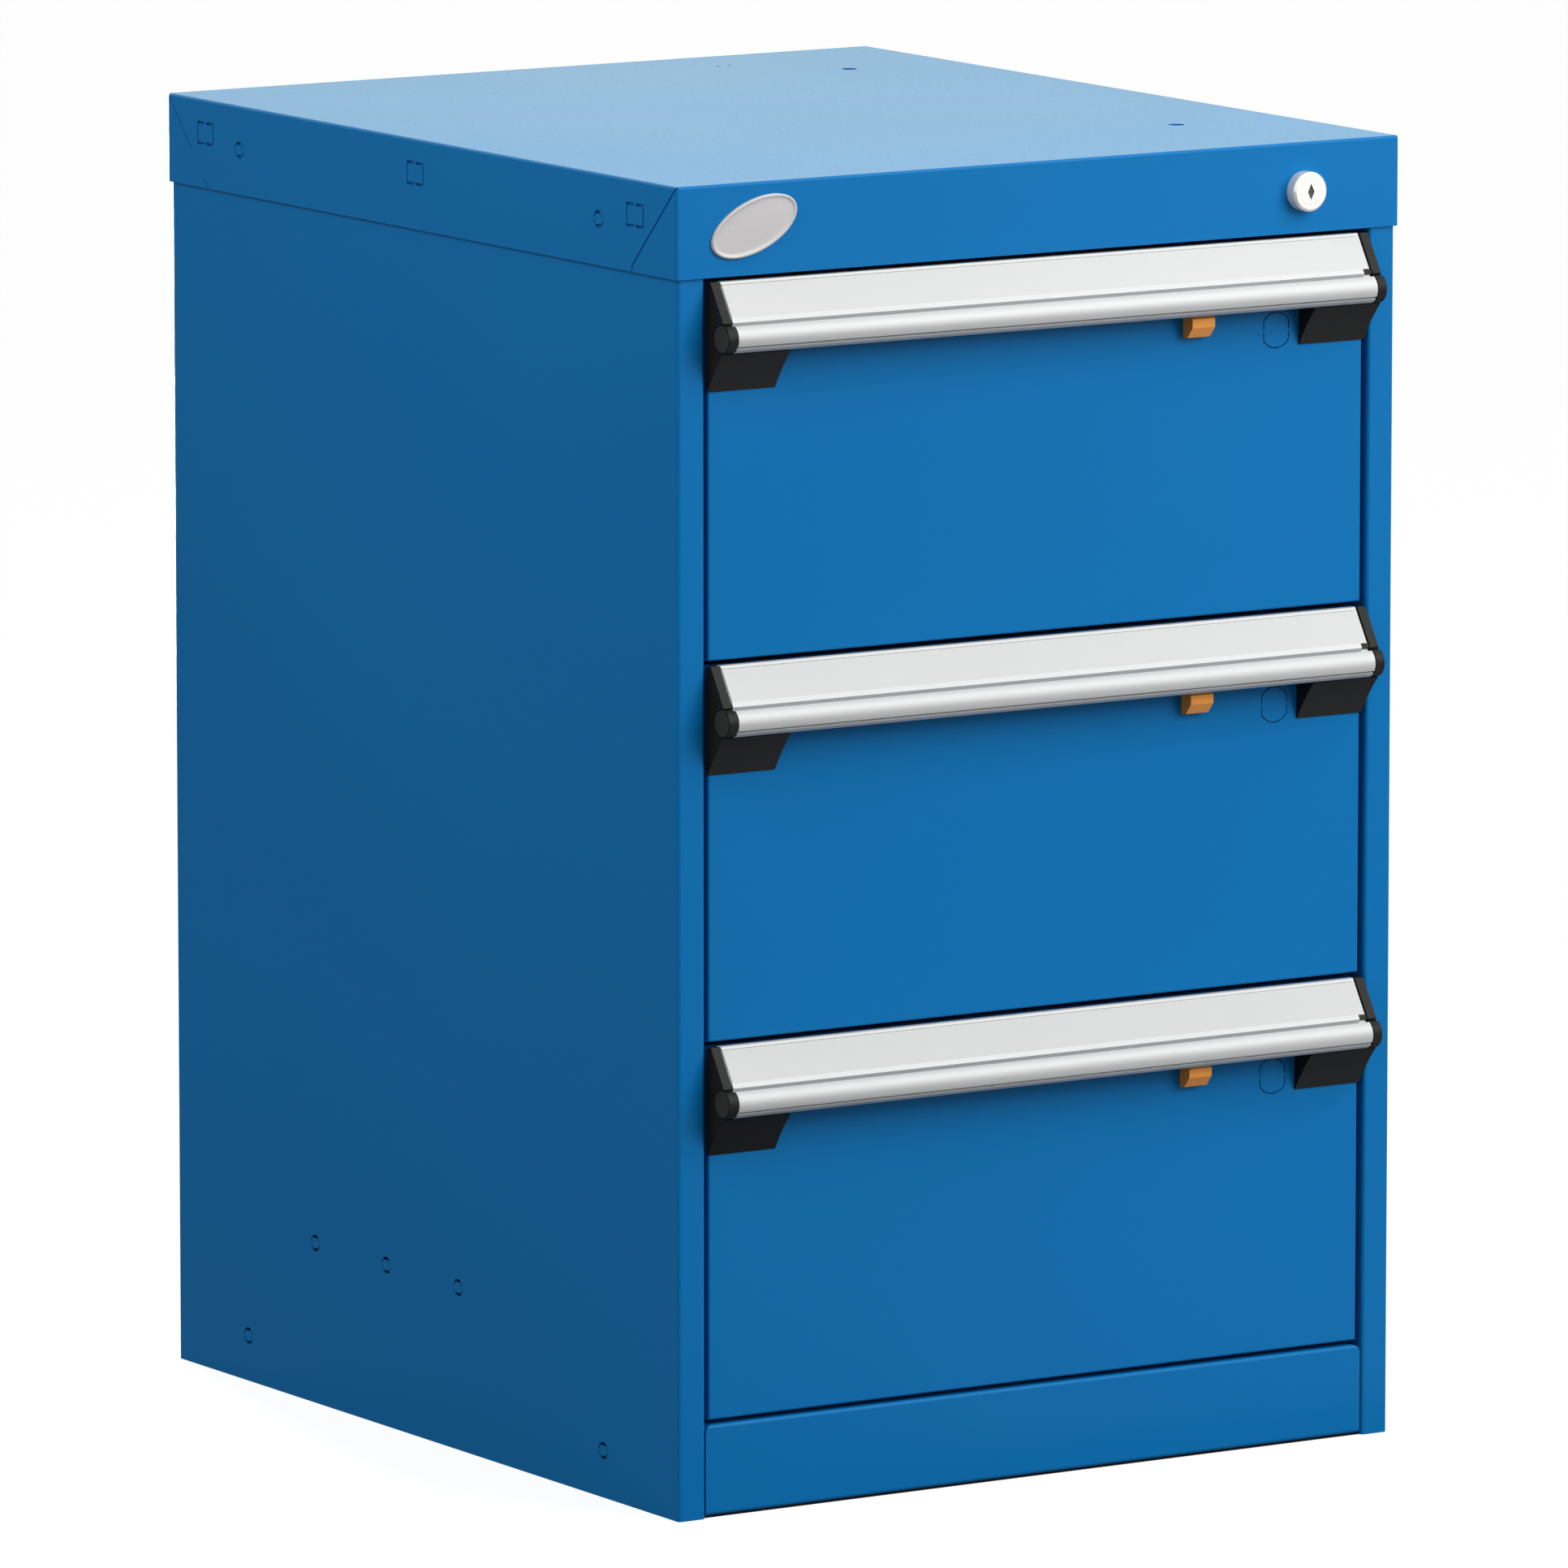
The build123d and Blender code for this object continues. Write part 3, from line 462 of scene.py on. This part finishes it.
# %% A node group that punches rows of slots
def punch_group(name, rows, finish):
    tree = bpy.data.node_groups.new(name, "GeometryNodeTree")
    tree.interface.new_socket("Geometry", in_out="OUTPUT", socket_type="NodeSocketGeometry")
    tree.interface.new_socket("Geometry", in_out="INPUT", socket_type="NodeSocketGeometry")
    group = Wire(tree)
    sheet = Wire(tree, tree.nodes.new("NodeGroupInput").outputs["Geometry"])
    join = tree.nodes.new("GeometryNodeJoinGeometry")
    for count, start, step, size in rows:
        line = group.add("GeometryNodeMeshLine", None,
                         {"Count": count, "Start Location": start, "Offset": step})
        box = group.add("GeometryNodeMeshCube", None, {"Size": size})
        slots = group.add("GeometryNodeInstanceOnPoints", None, {"Points": line, "Instance": box})
        tree.links.new(slots.socket, join.inputs[0])
    cutters = group.add("GeometryNodeRealizeInstances", None, {0: Wire(tree, join.outputs[0])})
    punched = group.add("GeometryNodeMeshBoolean", {"operation": "DIFFERENCE", "solver": "MANIFOLD"},
                        {0: sheet, 1: cutters})
    whole = group.add("GeometryNodeRealizeInstances", None, {0: punched})
    done = group.add("GeometryNodeSetMaterial", None, {"Geometry": whole, "Material": finish})
    tree.links.new(done.socket, tree.nodes.new("NodeGroupOutput").inputs[0])
    return tree


# %% Punch a solid's copy
merge_distance = 1e-6
sliver_size = 2e-6


def punch(node, name, body, slot, rows):
    build = bmesh.new()
    build.from_mesh(nodes[node].data)
    bmesh.ops.remove_doubles(build, verts=build.verts, dist=merge_distance)
    carrier = add_object(name + "_carrier", mesh_from(build, name + "_plain"))
    carrier.data.materials.append(finish_of_slot[slot])
    modifier = carrier.modifiers.new("punch", "NODES")
    modifier.node_group = punch_group(name, rows, finish_of_slot[slot])
    mesh = bpy.data.meshes.new_from_object(carrier.evaluated_get(bpy.context.evaluated_depsgraph_get()))
    bpy.data.objects.remove(carrier)
    build = bmesh.new()
    build.from_mesh(mesh)
    bmesh.ops.dissolve_degenerate(build, edges=build.edges, dist=sliver_size)
    open_edges = sum(1 for edge in build.edges if len(edge.link_faces) != 2)
    build.to_mesh(mesh)
    build.free()
    mesh.name = name
    mesh.shade_flat()
    made = add_object(name, mesh)
    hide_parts(node)
    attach(made, body)
    print(name, "faces:", len(mesh.polygons), "open edges:", open_edges)


# %% [markdown]
# Drawers of this kind have rows of upright slots in their walls, which take the ends of dividers: two rows
# in both side walls and two in the back.

# %% Slots for dividers
slot_width = 0.0024
slot_height = 0.036
slot_pitch = 0.0170
row_heights = (0.062, 0.118)
end_margin = 0.022
# A cutter reaches past the sheet by this much in all
spare = 0.01


def divider_rows(low, high):
    side_count = int((high.y - low.y - 2 * end_margin) / slot_pitch) + 1
    back_count = int((high.x - low.x - 2 * end_margin) / slot_pitch) + 1
    middle = (low + high) / 2
    side_start = middle.y - (side_count - 1) * slot_pitch / 2
    back_start = middle.x - (back_count - 1) * slot_pitch / 2
    side_size = (high.x - low.x + spare, slot_width, slot_height)
    back_size = (slot_width, 2 * spare, slot_height)
    sides = [(side_count, (middle.x, side_start, low.z + rise), (0.0, slot_pitch, 0.0), side_size)
             for rise in row_heights]
    backs = [(back_count, (back_start, high.y, low.z + rise), (slot_pitch, 0.0, 0.0), back_size)
             for rise in row_heights]
    return sides + backs


for bay in bays:
    tray_node = bay + "_drawer_tray"
    tray_rows = divider_rows(*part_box(tray_node))
    punch(tray_node, bay + "_punched_tray", bay + "_drawer", "tray_paint", tray_rows)

# %% [markdown]
# The knock-outs in the cap and the side panels are slugs that stay in the sheet on small bridges. The
# solids have a fine slot round each slug. It is opened up above and below the slug, where a screwdriver
# goes in, and the shadow inside makes a dark dash.

# %% Open up the knock-outs
tab_inset = 0.0415
tab_drop = 0.0188
round_inset = 0.0784
round_drop = 0.0244
foot_height = 0.0254
side_height = 0.0895
side_pitch = 0.0762
side_shift = 0.0381
# A dash: its length and height, and how far it lies beside and above the middle of its slug
tab_dash = (0.0074, 0.00155, 0.0050, 0.005725)
round_dash = (0.0044, 0.0015, 0.0, 0.00345)
cap_low, cap_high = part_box("top_cap")
cap_middle = (cap_low + cap_high) / 2
reach = cap_high.x - cap_low.x + spare


def dash_rows(count, pitch, y, z, dash):
    length, opening, beside, above = dash
    first = y - (count - 1) * pitch / 2
    return [(count, (cap_middle.x, first + shift, z + up), (0.0, pitch, 0.0), (reach, length, opening))
            for shift in sorted({-beside, beside}) for up in (-above, above)]


tab_pitch = (cap_high.y - cap_low.y) / 2 - tab_inset
round_pitch = cap_high.y - cap_low.y - 2 * round_inset
cap_rows = dash_rows(3, tab_pitch, cap_middle.y, cap_high.z - tab_drop, tab_dash)
cap_rows += dash_rows(2, round_pitch, cap_middle.y, cap_high.z - round_drop, round_dash)
panel_rows = dash_rows(2, round_pitch, cap_middle.y, foot_height, round_dash)
panel_rows += dash_rows(3, side_pitch, cap_middle.y + side_shift, side_height, round_dash)
punch("top_cap", "punched_top_cap", "housing", "housing_paint", cap_rows)
for side in ("left", "right"):
    punch(side + "_side_panel", "punched_" + side + "_panel", "housing", "housing_paint", panel_rows)

# %% [markdown]
# The studio is plain: a pale floor that runs far behind the cabinet, a sky that shows white, and soft
# lamps. The floor reflects little light, so that it doesn't grey the paint from below. It adds white of its
# own for the camera, and a little for mirroring metal, except under the cabinet, where it would show
# through the gaps.


# %% Floor
def rays(wire, kind):
    return wire.add("ShaderNodeLightPath", out="Is " + kind + " Ray")


def floor_finish(low, high):
    material, shader, place = start_finish("studio_floor", Base_Color=(0.17, 0.17, 0.17, 1.0),
                                           Roughness=0.9, Specular_IOR_Level=0.05,
                                           Emission_Strength=1.0)
    centre = (low + high) / 2
    within = []
    for axis in (0, 1):
        along = place.add("ShaderNodeSeparateXYZ", None, {0: place}, axis) - centre[axis]
        apart = along.add("ShaderNodeMath", {"operation": "ABSOLUTE"}, {0: along})
        within.append(along.maths("LESS_THAN", apart, (high[axis] - low[axis]) / 2))
    under = within[0] * within[1]
    direct = rays(place, "Camera") + rays(place, "Transmission")
    mirrored = rays(place, "Glossy") * 0.1
    shown = (direct + mirrored) * (1.0 - under)
    feed(shader, Emission_Color=mix_colours(shown, (0.0, 0.0, 0.0, 1.0), (0.87, 0.87, 0.87, 1.0)))
    return material


def flat_square(name, half, z):
    mesh = bpy.data.meshes.new(name)
    mesh.from_pydata([(-half, -half, z), (half, -half, z), (half, half, z), (-half, half, z)], [],
                     [(0, 1, 2, 3)])
    return add_object(name, mesh)


floor_half = 60.0
floor_gap = 0.0002
floor = flat_square("floor", floor_half, cad_low.z - floor_gap)
floor.data.materials.append(floor_finish(*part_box("bottom_pan")))
print("floor at z in mm:", round(1000 * floor.data.vertices[0].co.z, 2))

# %% [markdown]
# The key lamp is above the front right, near enough for the cabinet to be darker towards its foot, and a
# weaker one does the same on the left. A dim panel at the front right is there for the lock and the cap to
# mirror, and a card of light on the floor for the undersides of the handles. A weak lamp behind the cabinet
# keeps its back from being lost in the dark. Its beam is narrow, so that it leaves no edge on the floor.
# The sky is brighter and a little greener where it is mirrored, which gives the top its pale blue.


# %% Sky and lamps
def sky(ambient, mirrored):
    world = bpy.data.worlds.new("studio_sky")
    world.use_nodes = True
    tree = world.node_tree
    start = Wire(tree)
    seen = rays(start, "Camera") + rays(start, "Transmission")
    light = mix_colours(rays(start, "Glossy"), shade_of(ambient, 1.0), shade_of(mirrored, 1.0))
    shown = mix_colours(seen, light, (1.0, 1.0, 1.0, 1.0))
    tree.links.new(shown.socket, tree.nodes["Background"].inputs["Color"])
    bpy.context.scene.world = world


def soft_lamp(name, place, aim_at, size, watts, only_mirrored=False):
    lamp = bpy.data.lights.new(name, "AREA")
    lamp.shape = "SQUARE"
    lamp.size = size
    lamp.energy = watts
    made = add_object(name, lamp)
    made.location = place
    made.rotation_mode = "QUATERNION"
    made.rotation_quaternion = (Vector(aim_at) - Vector(place)).to_track_quat("-Z", "Y")
    made.visible_camera = False
    made.visible_diffuse = not only_mirrored
    return made


sky(ambient=(0.44, 0.44, 0.44), mirrored=(1.67, 1.94, 1.63))
soft_lamp("key_lamp", place=(1.1, -1.9, 1.9), aim_at=(0.0, -0.1, 0.5), size=1.9, watts=62.0)
soft_lamp("left_lamp", place=(-1.7, -0.3, 1.9), aim_at=(-0.1, 0.0, 0.5), size=1.2, watts=21.0)
soft_lamp("mirror_panel", place=(1.42, -2.24, 0.8), aim_at=(0.0, -0.2, 0.8), size=1.1, watts=7.0)
soft_lamp("floor_card", place=(0.45, -0.75, 0.01), aim_at=(0.45, -0.75, 1.0), size=0.9, watts=2.6,
          only_mirrored=True)
back_lamp = soft_lamp("back_lamp", place=(0.4, 2.4, 0.38), aim_at=(0.0, 0.3, 0.38), size=0.6, watts=10.0)
back_lamp.data.spread = math.radians(50)
